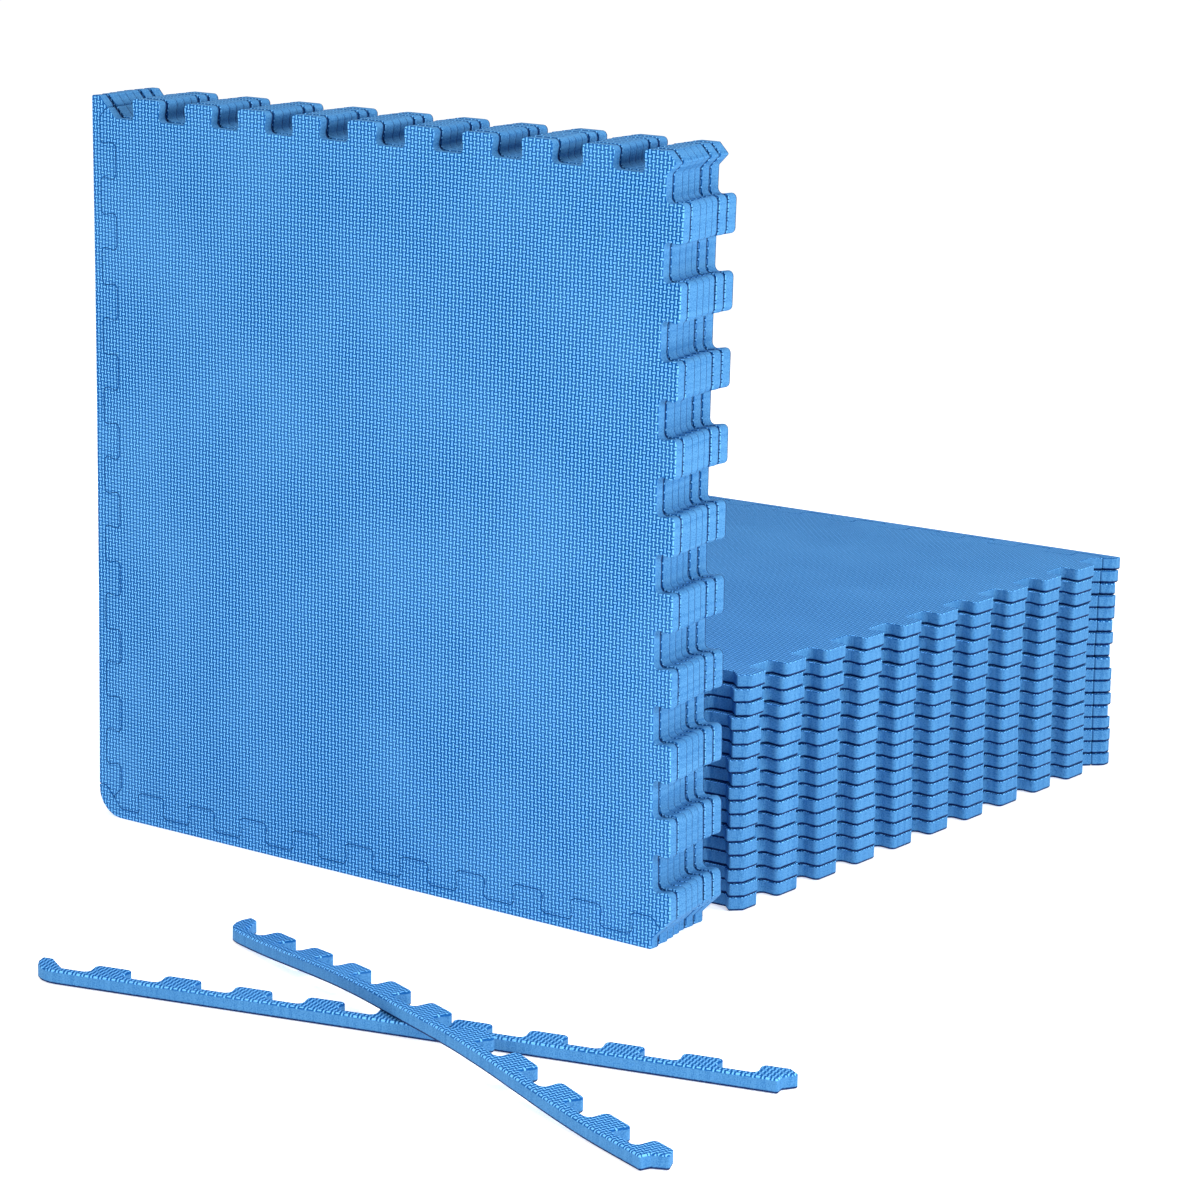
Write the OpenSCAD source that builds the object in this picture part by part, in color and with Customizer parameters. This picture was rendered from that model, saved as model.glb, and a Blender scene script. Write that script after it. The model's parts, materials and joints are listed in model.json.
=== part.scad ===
// Interlocking foam mat tiles with clip-on border strips: one stack lying flat, one stack
// standing on edge beside it, and two loose strips crossed on the floor in front.

/* [Tile] */
// Side of a tile, from corner tip to corner tip
tile_side = 600; // [300:60:900]
// Distance between neighbouring tabs along an edge
tab_pitch = 60; // [60]
// Width of a tab across its tip
tab_tip = 33; // [31:1:36]
// Distance that tabs stand out from, and sockets cut into, the edge's middle line
tab_reach = 9; // [6:1:12]
// Radius of the corners of tabs and sockets
tab_round = 4.5; // [2:0.5:5]
// Thickness of the foam
foam_thickness = 11.4; // [8:0.1:20]

/* [Border strips] */
// Width of the straight band outside the tabs
band_width = 9; // [6:1:15]
// Radius of the outside corner that a corner strip turns
corner_round = 25; // [5:1:25]
// Clearance between a strip and whatever it is clipped into
strip_fit = 0.2; // [0.1:0.05:0.4]

/* [Stacks] */
// Clearance between tiles that lie on or lean against each other
layer_gap = 0.3; // [0.2:0.1:1]
// Angle between the flat stack and the standing stack
stack_turn = 2.2; // [0:0.1:3]
// Sideways step from each standing tile to the next
standing_step = 2.4; // [0:0.1:3]

/* [Hidden] */
flat_count = 17;
standing_count = 7;
// The strips taken off these flat tiles are the two that lie loose
tiles_without_corner_strip = [6, 12];

// Steps in each rounded corner, on the pieces in plain sight and on those within the stacks
open_arc_steps = 2;
inner_arc_steps = 1;
$arc_steps = open_arc_steps;
edge_round = 1;
tab_count = tile_side / tab_pitch;
tab_neck = tab_pitch - tab_tip;
outer_line = tab_reach + band_width;
layer_pitch = foam_thickness + layer_gap;
// Shift of a 45 degree edge that leaves a gap of strip_fit beside it
fit_step = strip_fit * sqrt(2);

// Extra free space in front of each standing tile, from front to back
standing_slack = [0, 2.6, 0, 0, 0, 1.6, 1.8];
// Sideways slip of each standing tile from its even step, from front to back
standing_slip = [0, 0.6, 1.2, 1.8, 2.4, 1, 0];
// Slip of each flat layer along the stack, from bottom to top
flat_slip = [-5, -5.5, -5.5, -6, -6.5, -7, -7, -7, -7, -7, -7.5, -5, -5.5, -6, -2.5, -3, 0];
// Small turn of each flat layer, from bottom to top
flat_twist = [0, 0.1, -0.1, 0.1, 0, -0.2, 0.1, 0, -0.1, 0.2, -0.1, 0, 0.1, -0.1, 0.1, -0.1, 0];
// Centre of the flat stack, from the middle of the front standing tile's face
flat_centre = [417, 37];

// Outer corner of each loose strip's hook, and the way the strip runs from there
lower_strip_corner = [-376, 21];
lower_strip_turn = -74.5;
upper_strip_corner = [-194.5, -12];
upper_strip_turn = -109.5;
// The upper strip rides over the lower one here, on a level stretch and down two slopes
crossing_at = 285;
crossing_level = 48;
crossing_slope = 235;
slope_steps = 8;

// Middle of the whole group's footprint
group_centre = [174.61, -116.6];

tile_blue = "#3f87d9";
strip_blue = "#4a90e0";

function two_digits(n) = str(n < 10 ? "0" : "", n);
function flat_name(k) = str("flat_tile_", two_digits(k));
function flat_strips_name(k) = str("flat_strips_", two_digits(k));
function standing_name(i) = str("standing_tile_", i);
function standing_strips_name(i) = str("standing_strips_", i);

// --- outlines ---------------------------------------------------------------------------

function unit(v) = v / norm(v);

// The arc that replaces corner p, between neighbours a and b; p[2] is its radius
function corner_arc(a, p, b) =
    let (
        at = [p[0], p[1]],
        u = unit([a[0], a[1]] - at),
        v = unit([b[0], b[1]] - at),
        half = acos(u * v) / 2,
        middle = at + unit(u + v) * p[2] / sin(half),
        from = at + u * p[2] / tan(half) - middle,
        to = at + v * p[2] / tan(half) - middle,
        sweep = 180 - 2 * half
    )
    [for (i = [0 : $arc_steps])
        let (f = i / $arc_steps)
        middle + (sin((1 - f) * sweep) * from + sin(f * sweep) * to) / sin(sweep)];

function rounded(corners) =
    let (n = len(corners))
    [for (i = [0 : n - 1])
        each corner_arc(corners[(i + n - 1) % n], corners[i], corners[(i + 1) % n])];

function tab_middle(k) = tab_pitch * (k + 0.75);
function socket_middle(k) = tab_pitch * (k + 1.25);

// One side of a tile as [along, out, radius]. It starts on a corner's tip and runs clockwise;
// every side is the same, so any tile meets any other.
function tile_edge() = concat(
    [[0, 0, edge_round], [tab_reach, -tab_reach, edge_round]],
    [for (k = [0 : tab_count - 2])
        each [
            [tab_middle(k) - tab_neck / 2, -tab_reach, tab_round],
            [tab_middle(k) - tab_tip / 2, tab_reach, tab_round],
            [tab_middle(k) + tab_tip / 2, tab_reach, tab_round],
            [tab_middle(k) + tab_neck / 2, -tab_reach, tab_round]
        ]],
    [
        [tab_middle(tab_count - 1) - tab_neck / 2, -tab_reach, tab_round],
        [tab_middle(tab_count - 1) - tab_tip / 2, tab_reach, tab_round],
        [tile_side - tab_reach, tab_reach, edge_round]
    ]
);

function turned(p, angle) = [
    p[0] * cos(angle) + p[1] * sin(angle),
    p[1] * cos(angle) - p[0] * sin(angle),
    p[2]
];

function tile_outline() = rounded([
    for (side = [0 : 3], p = tile_edge())
        turned([p[0] - tile_side / 2, p[1] + tile_side / 2, p[2]], 90 * side)
]);

// A strip's outline in the same [along, out] measures as the side that it closes
function strip_start() = [
    [tab_reach + fit_step, outer_line, edge_round],
    [tab_reach + fit_step, tab_reach, edge_round],
    [fit_step, 0, edge_round],
    [tab_reach + fit_step - strip_fit, strip_fit - tab_reach, edge_round],
    [tab_middle(0) - tab_neck / 2 - strip_fit, strip_fit - tab_reach, tab_round],
    [tab_middle(0) - tab_tip / 2 - strip_fit, tab_reach + strip_fit, tab_round]
];

function strip_tabs() = [for (k = [0 : tab_count - 2])
    each [
        [socket_middle(k) - tab_neck / 2 + strip_fit, tab_reach + strip_fit, tab_round],
        [socket_middle(k) - tab_tip / 2 + strip_fit, strip_fit - tab_reach, tab_round],
        [socket_middle(k) + tab_tip / 2 - strip_fit, strip_fit - tab_reach, tab_round],
        [socket_middle(k) + tab_neck / 2 - strip_fit, tab_reach + strip_fit, tab_round]
    ]
];

function strip_end() = [
    [tile_side - tab_reach + fit_step - strip_fit, tab_reach + strip_fit, edge_round],
    [tile_side, fit_step, edge_round],
    [tile_side + tab_reach, tab_reach + fit_step, edge_round],
    [tile_side + tab_reach, outer_line, edge_round]
];

function corner_strip_end() = [
    [tile_side - tab_reach + fit_step - strip_fit, tab_reach + strip_fit, edge_round],
    [tile_side + tab_reach + fit_step, -tab_reach, edge_round],
    [tile_side + outer_line, -tab_reach, edge_round],
    [tile_side + outer_line, outer_line, corner_round]
];

function strip_outline(turns_corner) = rounded(concat(
    strip_start(),
    strip_tabs(),
    turns_corner ? corner_strip_end() : strip_end()
));

// --- pieces in their own frames ---------------------------------------------------------

module foam_tile() {
    color(tile_blue) linear_extrude(foam_thickness) polygon(tile_outline());
}

module foam_strip(turns_corner) {
    color(strip_blue) linear_extrude(foam_thickness) polygon(strip_outline(turns_corner));
}

// Puts a strip on a side of the tile: 0 is +Y, then clockwise
module on_side(side) {
    rotate(-90 * side) translate([-tile_side / 2, tile_side / 2]) children();
}

// Puts a loose strip's hook corner on the origin, with the strip running along +X
module from_hook() {
    translate([tile_side + outer_line, outer_line]) rotate(180) children();
}

// Height of the upper strip's underside, along its length
function ride_height(x) =
    let (away = max(0, abs(x - crossing_at) - crossing_level))
    layer_pitch * (away >= crossing_slope ? 0 : (1 + cos(180 * away / crossing_slope)) / 2);

function ride_stations() = concat(
    [-1],
    [for (i = [slope_steps : -1 : 0])
        crossing_at - crossing_level - crossing_slope * i / slope_steps],
    [for (i = [0 : slope_steps])
        crossing_at + crossing_level + crossing_slope * i / slope_steps],
    [tile_side + outer_line + 1]
);

function ride_profile() = concat(
    [for (x = ride_stations()) [x, ride_height(x)]],
    [for (i = [len(ride_stations()) - 1 : -1 : 0])
        let (x = ride_stations()[i])
        [x, ride_height(x) + foam_thickness]]
);

module bent_strip() {
    color(strip_blue) intersection() {
        from_hook() linear_extrude(2 * layer_pitch) polygon(strip_outline(true));
        translate([0, 2 * outer_line, 0]) rotate([90, 0, 0])
            linear_extrude(3 * outer_line) polygon(ride_profile());
    }
}

// --- places -----------------------------------------------------------------------------

function sum_to(list, n) = n < 0 ? 0 : list[n] + sum_to(list, n - 1);

module place_group() {
    translate([-group_centre[0], -group_centre[1], 0]) children();
}

// Standing tile i, counted from the front, faces -X and stands on its corner strip
module standing(i) {
    place_group()
        translate([
            foam_thickness + (i - 1) * layer_pitch + sum_to(standing_slack, i - 1),
            (i - 1) * standing_step + standing_slip[i - 1],
            tile_side / 2 + outer_line
        ])
        rotate([90, 0, -90]) children();
}

// Flat tile k, counted from the floor, faces up
module lying(k) {
    place_group()
        translate([flat_centre[0], flat_centre[1], (k - 1) * layer_pitch])
        rotate(stack_turn + flat_twist[k - 1])
        translate([flat_slip[k - 1], 0, 0]) children();
}

module flat_corner_strip() {
    on_side(0) foam_strip(true);
}

module flat_edge_strip() {
    on_side(1) foam_strip(false);
}

module standing_corner_strip() {
    on_side(2) foam_strip(true);
}

module standing_edge_strip() {
    on_side(3) foam_strip(false);
}

module flat_strips(k) {
    lying(k) flat_edge_strip();
    if (len(search(k, tiles_without_corner_strip)) == 0) lying(k) flat_corner_strip();
}

module standing_strips(i) {
    standing(i) standing_edge_strip();
    standing(i) standing_corner_strip();
}

module loose_strip_lower() {
    place_group() translate(lower_strip_corner) rotate(lower_strip_turn)
        from_hook() foam_strip(true);
}

module loose_strip_upper() {
    place_group() translate(upper_strip_corner) rotate(upper_strip_turn) bent_strip();
}

for (k = [1 : flat_count - 1]) {
    lying(k) foam_tile($arc_steps = inner_arc_steps);
}
for (k = [1 : flat_count - 1]) {
    flat_strips(k, $arc_steps = inner_arc_steps);
}
lying(flat_count) foam_tile();
lying(flat_count) flat_corner_strip();  // top_corner_strip
lying(flat_count) flat_edge_strip();  // top_edge_strip
standing(1) foam_tile();
standing(1) standing_corner_strip();  // front_corner_strip
standing(1) standing_edge_strip();  // front_edge_strip
for (i = [2 : standing_count]) {
    standing(i) foam_tile($arc_steps = inner_arc_steps);
}
for (i = [2 : standing_count]) {
    standing_strips(i, $arc_steps = inner_arc_steps);
}
loose_strip_lower();
loose_strip_upper();
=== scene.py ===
"""Looks of the interlocking foam tiles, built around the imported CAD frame."""

import functools
import json
import math

import bpy
import numpy as np
from mathutils import Matrix, Vector
from mathutils.geometry import delaunay_2d_cdt


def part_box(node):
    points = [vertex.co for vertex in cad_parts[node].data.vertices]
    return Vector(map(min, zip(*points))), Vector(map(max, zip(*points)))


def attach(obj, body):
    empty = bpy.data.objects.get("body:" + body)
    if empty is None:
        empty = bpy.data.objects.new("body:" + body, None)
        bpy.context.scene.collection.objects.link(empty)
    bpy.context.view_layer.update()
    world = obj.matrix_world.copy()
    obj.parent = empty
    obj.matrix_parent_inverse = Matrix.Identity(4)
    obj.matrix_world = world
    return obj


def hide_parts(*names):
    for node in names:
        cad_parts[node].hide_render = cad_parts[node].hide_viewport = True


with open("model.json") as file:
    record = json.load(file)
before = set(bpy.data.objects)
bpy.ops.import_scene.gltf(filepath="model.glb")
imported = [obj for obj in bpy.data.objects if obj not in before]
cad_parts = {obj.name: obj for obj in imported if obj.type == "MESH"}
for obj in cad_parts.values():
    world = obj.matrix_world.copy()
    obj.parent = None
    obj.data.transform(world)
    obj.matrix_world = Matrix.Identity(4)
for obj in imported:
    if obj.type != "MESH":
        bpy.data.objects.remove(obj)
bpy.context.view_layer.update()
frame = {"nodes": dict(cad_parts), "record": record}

# --- the tile pattern, in metres, as the CAD has it -------------------------------------------

SIDE = 0.600
PITCH = 0.060
TAB_TIP = 0.033
TAB_NECK = PITCH - TAB_TIP
REACH = 0.009
BAND = 0.009
OUTER = REACH + BAND
TAB_ROUND = 0.0045
TIP_ROUND = 0.0016
CORNER_ROUND = 0.025
FIT = 0.0002
FIT_STEP = FIT * math.sqrt(2)
TABS = round(SIDE / PITCH)
ARC_STEPS = 5

lo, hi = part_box("flat_tile_01")
THICK = hi.z - lo.z
PITCH_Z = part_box("flat_tile_02")[0].z - lo.z


def tab(k):
    return PITCH * (k + 0.75)


def socket(k):
    return PITCH * (k + 1.25)


def edge_corners():
    """One side of a tile as (along, out, radius), clockwise from a corner's tip."""
    c = [(0, 0, TIP_ROUND), (REACH, -REACH, TIP_ROUND)]
    for k in range(TABS):
        c += [(tab(k) - TAB_NECK / 2, -REACH, TAB_ROUND), (tab(k) - TAB_TIP / 2, REACH, TAB_ROUND)]
        if k < TABS - 1:
            c += [
                (tab(k) + TAB_TIP / 2, REACH, TAB_ROUND),
                (tab(k) + TAB_NECK / 2, -REACH, TAB_ROUND),
            ]
    return c + [(SIDE - REACH, REACH, TIP_ROUND)]


def strip_corners(turns_corner, end_round=TIP_ROUND):
    """A strip as (along, out, radius), in the measures of the side that it closes."""
    c = [
        (REACH + FIT_STEP, OUTER, TIP_ROUND),
        (REACH + FIT_STEP, REACH, TIP_ROUND),
        (FIT_STEP, 0, TIP_ROUND),
        (REACH + FIT_STEP - FIT, FIT - REACH, TIP_ROUND),
        (tab(0) - TAB_NECK / 2 - FIT, FIT - REACH, TAB_ROUND),
        (tab(0) - TAB_TIP / 2 - FIT, REACH + FIT, TAB_ROUND),
    ]
    for k in range(TABS - 1):
        m = socket(k)
        c += [
            (m - TAB_NECK / 2 + FIT, REACH + FIT, TAB_ROUND),
            (m - TAB_TIP / 2 + FIT, FIT - REACH, TAB_ROUND),
            (m + TAB_TIP / 2 - FIT, FIT - REACH, TAB_ROUND),
            (m + TAB_NECK / 2 - FIT, REACH + FIT, TAB_ROUND),
        ]
    c.append((SIDE - REACH + FIT_STEP - FIT, REACH + FIT, TIP_ROUND))
    if turns_corner:
        return c + [
            (SIDE + REACH + FIT_STEP, -REACH, TIP_ROUND),
            (SIDE + OUTER, -REACH, TIP_ROUND),
            (SIDE + OUTER, OUTER, CORNER_ROUND),
        ]
    return c + [
        (SIDE, FIT_STEP, TIP_ROUND),
        (SIDE + REACH, REACH + FIT_STEP, TIP_ROUND),
        (SIDE + REACH, OUTER, end_round),
    ]


def rounded(corners):
    """The closed outline, with each corner an arc."""
    out = []
    for i, c in enumerate(corners):
        p = np.array(c[:2])
        u = np.array(corners[i - 1][:2]) - p
        v = np.array(corners[(i + 1) % len(corners)][:2]) - p
        u, v = u / np.linalg.norm(u), v / np.linalg.norm(v)
        half = math.acos(max(-1.0, min(1.0, float(u @ v)))) / 2
        middle = p + (u + v) / np.linalg.norm(u + v) * c[2] / math.sin(half)
        a, b = p + u * c[2] / math.tan(half) - middle, p + v * c[2] / math.tan(half) - middle
        sweep = math.pi - 2 * half
        for k in range(ARC_STEPS + 1):
            f = k / ARC_STEPS
            from_a, from_b = math.sin((1 - f) * sweep), math.sin(f * sweep)
            out.append(middle + (from_a * a + from_b * b) / math.sin(sweep))
    return np.array(out)


def turned(points, quarters):
    for _ in range(quarters % 4):
        points = np.stack([points[:, 1], -points[:, 0]], 1)
    return points


def counter_clockwise(points):
    x, y = points[:, 0], points[:, 1]
    area = float(np.sum(x * np.roll(y, -1) - np.roll(x, -1) * y))
    return points if area > 0 else points[::-1]


def with_stations(points, longest):
    """Splits long straight runs, so that they can bend."""
    out = []
    for p, q in zip(points, np.roll(points, -1, 0)):
        n = max(1, math.ceil(float(np.linalg.norm(q - p)) / longest))
        out += [p + (q - p) * k / n for k in range(n)]
    return np.array(out)


def inset(points, by):
    """The outline moved inwards, by the mitre of each corner."""
    before = points - np.roll(points, 1, 0)
    after = np.roll(points, -1, 0) - points
    n = []
    for d in (before, after):
        d = d / np.linalg.norm(d, axis=1)[:, None]
        n.append(np.stack([-d[:, 1], d[:, 0]], 1))
    both = n[0] + n[1]
    both /= np.linalg.norm(both, axis=1)[:, None]
    stretch = 1 / np.maximum(np.sum(both * n[0], axis=1), 0.5)
    return points + both * (stretch * by)[:, None]


RIM_ANGLES = (0, 35, 65, 90)
# The painted shade along a joint between pieces, where the gap is: how far it goes down the wall,
# and past the tabs' tips
SEAM_DEPTH = 0.0004
SEAM_SPILL = 0.0015


class Shape:
    """A foam outline cut from sheet: rings of wall points and a face that its copies share."""

    def __init__(self, outline, rim, back_rim, inner_step, longest):
        """rim and back_rim round the face's edge and the back's, where the die came out."""
        outline = with_stations(counter_clockwise(outline), longest)
        angles = np.radians(RIM_ANGLES)
        back = [(back_rim * (1 - math.sin(a)), back_rim * (1 - math.cos(a))) for a in angles]
        front = [
            (rim * (1 - math.sin(a)), THICK - rim * (1 - math.cos(a))) for a in reversed(angles)
        ]
        self.rings = [(inset(outline, i), z) for i, z in back + front]
        self.back_rim = back_rim
        rim = self.rings[-1][0]
        n = len(rim)
        low, high = rim.min(0), rim.max(0)
        grid = [
            Vector((x, y))
            for x in np.arange(low[0] + inner_step / 2, high[0], inner_step)
            for y in np.arange(low[1] + inner_step / 2, high[1], inner_step)
        ]
        at, _, faces, origin, _, _ = delaunay_2d_cdt(
            [Vector(p) for p in rim] + grid, [(k, (k + 1) % n) for k in range(n)],
            [list(range(n))], 1, 1e-7,
        )
        self.flat = np.array([tuple(v) for v in at])
        self.faces = [tuple(f) for f in faces]
        self.rim_at = {}
        for j, from_ in enumerate(origin):
            for k in from_:
                if k < n:
                    self.rim_at[k] = j
        self.count = n

    def build(self, name, lift, seamed):
        """A mesh with lift(x, y) added to each point's height. Walls are material 1 and faces 0."""
        n, cap = self.count, len(self.flat)
        under = self.flat.copy()
        for k in range(n):
            under[self.rim_at[k]] = self.rings[0][0][k]
        xy, z = [under, self.flat], [np.zeros(cap), np.full(cap, THICK)]
        index = [
            [self.rim_at[k] for k in range(n)],
            *[[2 * cap + r * n + k for k in range(n)] for r in range(len(self.rings) - 2)],
            [cap + self.rim_at[k] for k in range(n)],
        ]
        for ring, height in self.rings[1:-1]:
            xy.append(ring)
            z.append(np.full(n, height))
        xy, level = np.vstack(xy), np.concatenate(z)
        z = level + lift(xy[:, 0], xy[:, 1])
        faces = [f[::-1] for f in self.faces] + [tuple(cap + v for v in f) for f in self.faces]
        caps = len(faces)
        for a, b in zip(index, index[1:]):
            faces += [(a[k], a[(k + 1) % n], b[(k + 1) % n], b[k]) for k in range(n)]
        front_rim = 3 * n
        walls = len(faces) - caps - front_rim
        mesh = bpy.data.meshes.new(name)
        mesh.from_pydata(np.column_stack([xy, z]).tolist(), [], faces)
        mesh.polygons.foreach_set("use_smooth", [True] * len(faces))
        mesh.polygons.foreach_set("material_index", [0] * caps + [1] * walls + [0] * front_rim)
        mesh.update()
        # The height in back rims, which places the wall's painted shade along the back edge
        levels = mesh.attributes.new("level", "FLOAT", "POINT")
        levels.data.foreach_set("value", level / self.back_rim)
        # The rim points along the mating sides, which the skin paints dark as the shade in the gap
        # between pieces
        mating = np.abs(xy).max(1) < SIDE / 2 + REACH + SEAM_SPILL
        seam_shade = (level > THICK - SEAM_DEPTH) & mating & seamed
        seam_shade[:2 * cap] = False
        seam_shade_layer = mesh.attributes.new("seam_shade", "FLOAT", "POINT")
        seam_shade_layer.data.foreach_set("value", seam_shade.astype(float))
        rim = {frozenset((r[k], r[(k + 1) % n])) for r in (index[0], index[-1]) for k in range(n)}
        sharp = mesh.attributes.new("sharp_edge", "BOOLEAN", "EDGE")
        sharp.data.foreach_set("value", [frozenset(e.vertices) in rim for e in mesh.edges])
        return mesh


def tile_corners():
    c = []
    for quarter in range(4):
        e = edge_corners()
        p = turned(np.array([(a - SIDE / 2, o + SIDE / 2) for a, o, _ in e]), quarter)
        c += [(x, y, r) for (x, y), (_, _, r) in zip(p, e)]
    return c


def on_side(outline, quarter):
    return turned(outline + np.array([-SIDE / 2, SIDE / 2]), quarter)


BACK_RIM = 0.0017
# From front to back: the rounder ones leave the wider slits behind them, and the wall's painted
# shade along the back reaches higher with them
STANDING_BACK_RIMS = (0.0029, 0.0010, 0.0010, 0.0010, 0.0021, 0.0021, 0.0015)
FACE_RIM = 0.0006
WORN_RIM = 3 * FACE_RIM
WORN_END_ROUND = 0.007
LOOSE_RIM = 0.0016
# The grid of points inside a face, and the longest straight run of a wall
TILE_GRID, STRIP_GRID, LOOSE_GRID = 0.03, 0.009, 0.006
LONGEST, LOOSE_LONGEST = 0.03, 0.008


@functools.cache
def tile_shape(back_rim=BACK_RIM):
    return Shape(rounded(tile_corners()), FACE_RIM, back_rim, TILE_GRID, LONGEST)


@functools.cache
def strip_shape(corner, side, back_rim=BACK_RIM):
    outline = on_side(rounded(strip_corners(corner)), side)
    return Shape(outline, FACE_RIM, back_rim, STRIP_GRID, LONGEST)


worn_end = Shape(
    on_side(rounded(strip_corners(False, WORN_END_ROUND)), 1),
    WORN_RIM, BACK_RIM, STRIP_GRID, LONGEST,
)
loose_shape = Shape(
    np.array([SIDE + OUTER, OUTER]) - rounded(strip_corners(True)),
    LOOSE_RIM, BACK_RIM, LOOSE_GRID, LOOSE_LONGEST,
)


# --- materials --------------------------------------------------------------------------------


def linear(r, g, b):
    """A colour given as display values from 0 to 255."""
    one = [c / 255 / 12.92 if c <= 10.3 else ((c / 255 + 0.055) / 1.055) ** 2.4 for c in (r, g, b)]
    return (*one, 1.0)


class Nodes:
    """Short ways to add nodes to a material."""

    def __init__(self, name):
        self.material = bpy.data.materials.new(name)
        self.material.use_nodes = True
        self.tree = self.material.node_tree
        self.shader = self.tree.nodes["Principled BSDF"]

    def put(self, socket_, value):
        if isinstance(value, bpy.types.NodeSocket):
            self.tree.links.new(value, socket_)
        else:
            socket_.default_value = value

    def math(self, kind, *values):
        node = self.tree.nodes.new("ShaderNodeMath")
        node.operation = kind
        for s, v in zip(node.inputs, values):
            self.put(s, v)
        return node.outputs[0]

    def step(self, value, start, end, low=0.0, high=1.0):
        node = self.tree.nodes.new("ShaderNodeMapRange")
        node.interpolation_type = "SMOOTHSTEP"
        for s, v in zip(node.inputs, (value, start, end, low, high)):
            self.put(s, v)
        return node.outputs[0]

    def mix(self, share, a, b):
        node = self.tree.nodes.new("ShaderNodeMix")
        node.data_type = "RGBA"
        self.put(node.inputs[0], share)
        self.put(node.inputs[6], a)
        self.put(node.inputs[7], b)
        return node.outputs[2]

    def noise(self, at, scale, detail=2.0, rough=0.5):
        node = self.tree.nodes.new("ShaderNodeTexNoise")
        self.put(node.inputs["Vector"], at)
        node.inputs["Scale"].default_value = scale
        node.inputs["Detail"].default_value = detail
        node.inputs["Roughness"].default_value = rough
        return node.outputs[0]

    def stretch(self, at, scale):
        node = self.tree.nodes.new("ShaderNodeMapping")
        self.put(node.inputs["Vector"], at)
        node.inputs["Scale"].default_value = scale
        return node.outputs[0]

    def place(self):
        return self.tree.nodes.new("ShaderNodeTexCoord").outputs["Object"]

    def split(self, at):
        node = self.tree.nodes.new("ShaderNodeSeparateXYZ")
        self.put(node.inputs[0], at)
        return node.outputs

    def bump(self, height, distance, strength=1.0, under=None):
        node = self.tree.nodes.new("ShaderNodeBump")
        node.inputs["Strength"].default_value = strength
        node.inputs["Distance"].default_value = distance
        self.put(node.inputs["Height"], height)
        if under is not None:
            self.put(node.inputs["Normal"], under)
        return node.outputs[0]


# Pitch of the weave's bars along each side of a tile
WEAVE_X, WEAVE_Y = 0.00375, 0.00348


def weave_material(name, top, pit_shade):
    """Embossed foam skin: a plain weave of short raised bars, lying and standing by turns, with
    painted shade in the pits between them.
    """
    n = Nodes(name)
    at = n.place()
    wander = n.noise(at, 30.0, 1.0)
    x, y, _ = n.split(at)
    u = n.math("ADD", n.math("DIVIDE", x, WEAVE_X), n.math("MULTIPLY", wander, 0.5))
    v = n.math("ADD", n.math("DIVIDE", y, WEAVE_Y), n.math("MULTIPLY", wander, 0.5))
    standing = n.math("FLOORED_MODULO", n.math("ADD", n.math("FLOOR", u), n.math("FLOOR", v)), 2.0)
    a = n.math("ABSOLUTE", n.math("SUBTRACT", n.math("FRACT", u), 0.5))
    b = n.math("ABSOLUTE", n.math("SUBTRACT", n.math("FRACT", v), 0.5))
    narrow = n.step(a, 0.10, 0.27, 1.0, 0.0)
    lying_bar = n.math("MULTIPLY", n.step(b, 0.12, 0.30, 1.0, 0.0), n.step(a, 0.36, 0.50, 1.0, 0.1))
    stub = n.math("MULTIPLY", narrow, n.step(b, 0.34, 0.50))
    crossed = n.math("MAXIMUM", lying_bar, stub)
    height = n.math(
        "ADD", n.math("MULTIPLY", standing, narrow),
        n.math("MULTIPLY", n.math("SUBTRACT", 1.0, standing), crossed),
    )
    grain = n.noise(at, 2600.0, 2.0)
    blotch = n.noise(at, 9.0, 3.0)
    shade = n.math("ADD", height, n.math("MULTIPLY", n.math("SUBTRACT", grain, 0.5), 0.30))
    # Painted shade: the low parts of the weave take the darker pit colour
    colour = n.mix(n.step(shade, 0.05, 0.95), pit_shade, top)
    worn = n.mix(n.step(blotch, 0.35, 0.75, 0.0, 0.10), colour, top)
    # Painted shade of the gap where two pieces meet, in the pit colour
    seam_shade = n.tree.nodes.new("ShaderNodeAttribute")
    seam_shade.attribute_name = "seam_shade"
    n.put(n.shader.inputs["Base Color"], n.mix(n.step(seam_shade.outputs["Fac"], 0.1, 0.6), worn, pit_shade))
    n.put(n.shader.inputs["Roughness"], n.step(height, 0.0, 1.0, 0.80, 0.58))
    n.shader.inputs["Specular IOR Level"].default_value = 0.04
    fine = n.bump(grain, 0.00006, 0.6)
    n.put(n.shader.inputs["Normal"], n.bump(height, 0.0006, 1.0, fine))
    return n.material


def wall_material(name, body, dark, slit_shade):
    """The cut side of the foam: fine cells, faint marks of the knife, and painted shade along the
    back edge, where it meets the next piece or the floor.
    """
    n = Nodes(name)
    at = n.place()
    cells = n.noise(at, 900.0, 3.0, 0.6)
    knife = n.noise(n.stretch(at, (1.0, 1.0, 0.05)), 260.0, 2.0)
    blotch = n.noise(at, 14.0, 2.0)
    tone = n.math("ADD", n.math("MULTIPLY", cells, 0.7), n.math("MULTIPLY", knife, 0.3))
    colour = n.mix(n.step(tone, 0.36, 0.60), dark, body)
    mottled = n.mix(n.step(blotch, 0.3, 0.8, 0.0, 0.25), colour, dark)
    level = n.tree.nodes.new("ShaderNodeAttribute")
    level.attribute_name = "level"
    ragged = n.math("SUBTRACT", n.noise(at, 420.0, 1.0), 0.5)
    height = n.math("ADD", level.outputs["Fac"], n.math("MULTIPLY", ragged, 0.45))
    # Painted shade: the wall darkens to the slit colour near its back edge, along a ragged line
    n.put(n.shader.inputs["Base Color"], n.mix(n.step(height, 0.85, 1.4), slit_shade, mottled))
    n.shader.inputs["Roughness"].default_value = 0.72
    n.shader.inputs["Specular IOR Level"].default_value = 0.1
    n.put(n.shader.inputs["Normal"], n.bump(knife, 0.00012, 0.7, n.bump(cells, 0.00010, 0.8)))
    return n.material


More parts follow.
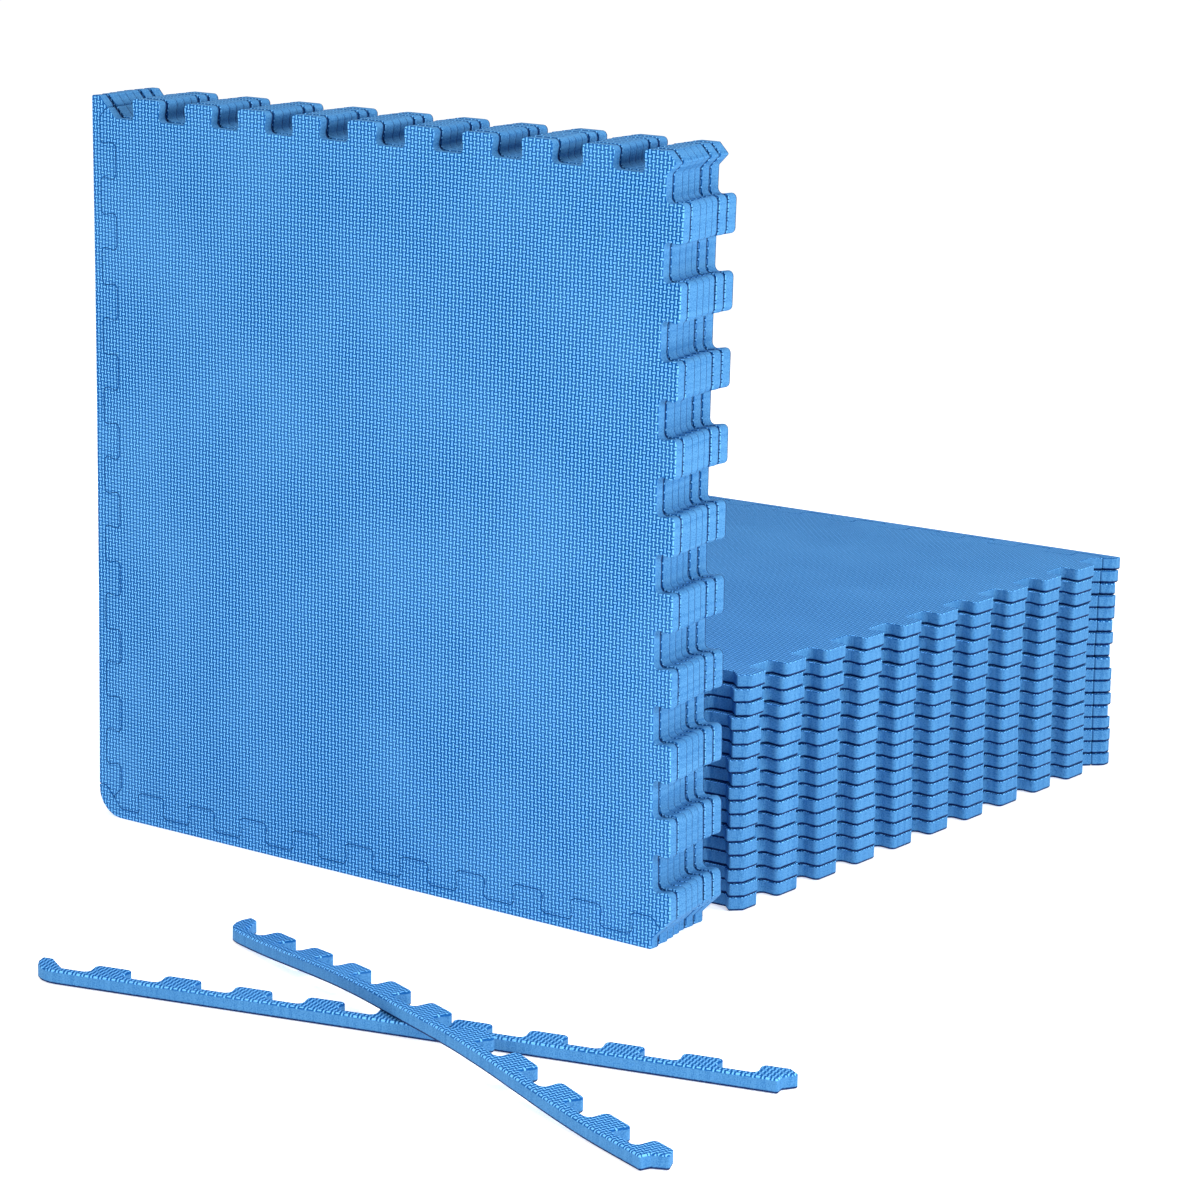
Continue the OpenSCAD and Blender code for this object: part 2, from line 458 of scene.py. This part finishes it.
# The second colour is painted shade, for the weave's pits and the joints between pieces
skin = weave_material("foam_skin", linear(111, 187, 251), linear(14, 82, 150))
# The third colour is painted shade, for the slits behind each piece
wall = wall_material("foam_cut", linear(78, 138, 189), linear(48, 108, 164), linear(0, 28, 78))


# --- pieces -----------------------------------------------------------------------------------


def no_lift(x, y):
    return np.zeros(len(x))


def piece(name, shape, matrix, lift, body, node, slot):
    mesh = shape.build(name, lift, slot == "strip_foam" and not node.startswith("loose"))
    mesh.materials.append(skin)
    mesh.materials.append(wall)
    obj = bpy.data.objects.new(name, mesh)
    bpy.context.scene.collection.objects.link(obj)
    obj.matrix_world = matrix
    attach(obj, body)
    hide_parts(node)
    return obj


def middle(node):
    a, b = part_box(node)
    return (a + b) / 2


MOST_SPIN = math.radians(6)
HALVINGS = 40


def spin_of(node):
    """How far a flat tile is turned, from the width of its box."""
    a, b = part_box(node)
    outline = rounded(tile_corners())
    low, high = 0.0, MOST_SPIN
    for _ in range(HALVINGS):
        t = (low + high) / 2
        x = outline[:, 0] * math.cos(t) - outline[:, 1] * math.sin(t)
        if x.max() - x.min() < b.x - a.x:
            low = t
        else:
            high = t
    return low


without_corner_strip = {
    n[-2:] for n in frame["nodes"]
    if n.startswith("flat_strips_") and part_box(n)[1].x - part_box(n)[0].x < SIDE / 2
}
flat_names = sorted(n for n in frame["nodes"] if n.startswith("flat_tile_"))
standing_names = sorted(n for n in frame["nodes"] if n.startswith("standing_tile_"))
node_body = {n: b for b, ns in frame["record"]["behaviour"]["bodies"].items() for n in ns}

# How far the corners of the top flat tile hang down; the tiles below it hang less
TOP_SAG = 0.0022
WORN_ENDS = ("15", "12", "10", "09", "05")

for k, node in enumerate(flat_names):
    number = node[-2:]
    at = middle(node)
    spin = Matrix.Rotation(spin_of(node), 4, "Z")
    matrix = Matrix.Translation((at.x, at.y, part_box(node)[0].z)) @ spin
    height = k / (len(flat_names) - 1)

    def sag(x, y, height=height):
        return -TOP_SAG * height * (np.maximum(np.abs(x), np.abs(y)) / (SIDE / 2)) ** 4

    piece(node + "_foam", tile_shape(), matrix, sag, node_body[node], node, "tile_foam")
    top = k == len(flat_names) - 1
    edge_node = "top_edge_strip" if top else "flat_strips_" + number
    corner_node = "top_corner_strip" if top else "flat_strips_" + number
    edge_shape = worn_end if number in WORN_ENDS else strip_shape(False, 1)
    piece("flat_edge_strip_" + number, edge_shape, matrix, sag,
          node_body[edge_node], edge_node, "strip_foam")
    if number not in without_corner_strip:
        piece("flat_corner_strip_" + number, strip_shape(True, 0), matrix, sag,
              node_body[corner_node], corner_node, "strip_foam")


# The bow of the standing tiles at mid-height: all along, and more at the near and far sides
BOW, NEAR_BOW, FAR_BOW = 0.0006, 0.0048, 0.0022


def standing_bow(x, y):
    """One side leans forward, and the other back by less than its room."""
    lean = np.where(x > 0, NEAR_BOW, FAR_BOW) * x / (SIDE / 2)
    return (1 - (y / (SIDE / 2)) ** 2) * (BOW + lean) * (np.abs(y) < SIDE / 2)


# A sheet's face turned towards -X, with its second side upright
UPRIGHT = Matrix(((0, 0, -1, 0), (-1, 0, 0, 0), (0, 1, 0, 0), (0, 0, 0, 1)))

for k, node in enumerate(standing_names):
    at = middle(node)
    matrix = Matrix.Translation((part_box(node)[1].x, at.y, at.z)) @ UPRIGHT
    number = node[-1]
    front = k == 0
    rim = STANDING_BACK_RIMS[k]
    piece(node + "_foam", tile_shape(rim), matrix, standing_bow, node_body[node], node, "tile_foam")
    edge_node = "front_edge_strip" if front else "standing_strips_" + number
    corner_node = "front_corner_strip" if front else "standing_strips_" + number
    piece("standing_edge_strip_" + number, strip_shape(False, 3, rim), matrix, standing_bow,
          node_body[edge_node], edge_node, "strip_foam")
    piece("standing_corner_strip_" + number, strip_shape(True, 2, rim), matrix, standing_bow,
          node_body[corner_node], corner_node, "strip_foam")

# Where the upper loose strip rides over the lower one, as the CAD has it
CROSSING, CROSSING_LEVEL, CROSSING_SLOPE = 0.285, 0.048, 0.235
LOWER_TURN, UPPER_TURN = math.radians(-74.5), math.radians(-109.5)


def ride_over(x, y):
    away = np.clip((np.abs(x - CROSSING) - CROSSING_LEVEL) / CROSSING_SLOPE, 0, 1)
    return PITCH_Z * (1 + np.cos(math.pi * away)) / 2


for node, turn, lift in (
    ("loose_strip_lower", LOWER_TURN, no_lift), ("loose_strip_upper", UPPER_TURN, ride_over)
):
    spin = Matrix.Rotation(turn, 4, "Z")
    xs = [spin @ Vector((x, y, 0)) for x, y in loose_shape.rings[3][0]]
    a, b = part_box(node)
    matrix = Matrix.Translation(
        (a.x - min(p.x for p in xs), a.y - min(p.y for p in xs), a.z)
    ) @ spin
    piece(node + "_foam", loose_shape, matrix, lift, node_body[node], node, "strip_foam")

# --- floor, light and camera ------------------------------------------------------------------


FLOOR_HALF, FLOOR_LEVEL = 12.0, -0.0004
FLOOR_GLOW = 0.54


def floor_piece():
    mesh = bpy.data.meshes.new("floor")
    s, z = FLOOR_HALF, FLOOR_LEVEL
    mesh.from_pydata([(-s, -s, z), (s, -s, z), (s, s, z), (-s, s, z)], [], [(0, 1, 2, 3)])
    obj = bpy.data.objects.new("floor", mesh)
    bpy.context.scene.collection.objects.link(obj)
    n = Nodes("floor")
    pale = n.mix(n.noise(n.place(), 3.0), (0.97, 0.97, 0.97, 1), (0.99, 0.99, 0.99, 1))
    n.put(n.shader.inputs["Base Color"], pale)
    n.shader.inputs["Roughness"].default_value = 0.9
    n.shader.inputs["Specular IOR Level"].default_value = 0.0
    n.shader.inputs["Emission Color"].default_value = (1, 1, 1, 1)
    n.shader.inputs["Emission Strength"].default_value = FLOOR_GLOW
    mesh.materials.append(n.material)


def area_light(name, at, aim, size, power):
    data = bpy.data.lights.new(name, "AREA")
    data.shape = "DISK"
    data.size = size
    data.energy = power
    obj = bpy.data.objects.new(name, data)
    bpy.context.scene.collection.objects.link(obj)
    obj.location = at
    obj.rotation_euler = (Vector(aim) - Vector(at)).to_track_quat("-Z", "Y").to_euler()


floor_piece()
world = bpy.data.worlds.new("studio")
bpy.context.scene.world = world
world.use_nodes = True
background = world.node_tree.nodes["Background"]
background.inputs["Color"].default_value = (1, 1, 1, 1)
background.inputs["Strength"].default_value = 0.5
area_light("front", at=(-2.8, 0.1, 1.3), aim=(-0.17, 0.1, 0.3), size=1.2, power=27.5)
area_light("side", at=(0.9, -3.4, 1.4), aim=(0.3, -0.17, 0.1), size=1.4, power=58)
area_light("edge", at=(-0.6, -1.6, 0.9), aim=(-0.13, -0.2, 0.3), size=0.4, power=13)
area_light("top", at=(0.5, 0.0, 3.3), aim=(0.3, 0.0, 0.0), size=2.0, power=46)

# The camera, from the middle of the front standing tile's bottom edge
CAMERA_AT = Vector((-2.42165, -2.12483, 0.94645))
CAMERA_RIGHT = Vector((0.61808, -0.78595, 0.01600))
CAMERA_FORWARD = Vector((0.76992, 0.60112, -0.21417))
SENSOR, FOCAL_LENGTH = 36.0, 121.1

front_lo, front_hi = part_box("standing_tile_1")
origin = Vector((front_lo.x, (front_lo.y + front_hi.y) / 2, 0))
right = CAMERA_RIGHT.normalized()
forward = CAMERA_FORWARD.normalized()
up = right.cross(forward).normalized()
right = forward.cross(up).normalized()
lens = bpy.data.cameras.new("camera")
lens.sensor_width = SENSOR
lens.lens = FOCAL_LENGTH
camera = bpy.data.objects.new("camera", lens)
bpy.context.scene.collection.objects.link(camera)
turn = Matrix((right, up, -forward)).transposed().to_4x4()
camera.matrix_world = Matrix.Translation(origin + CAMERA_AT) @ turn
bpy.context.scene.camera = camera
bpy.context.scene.view_settings.view_transform = "Standard"
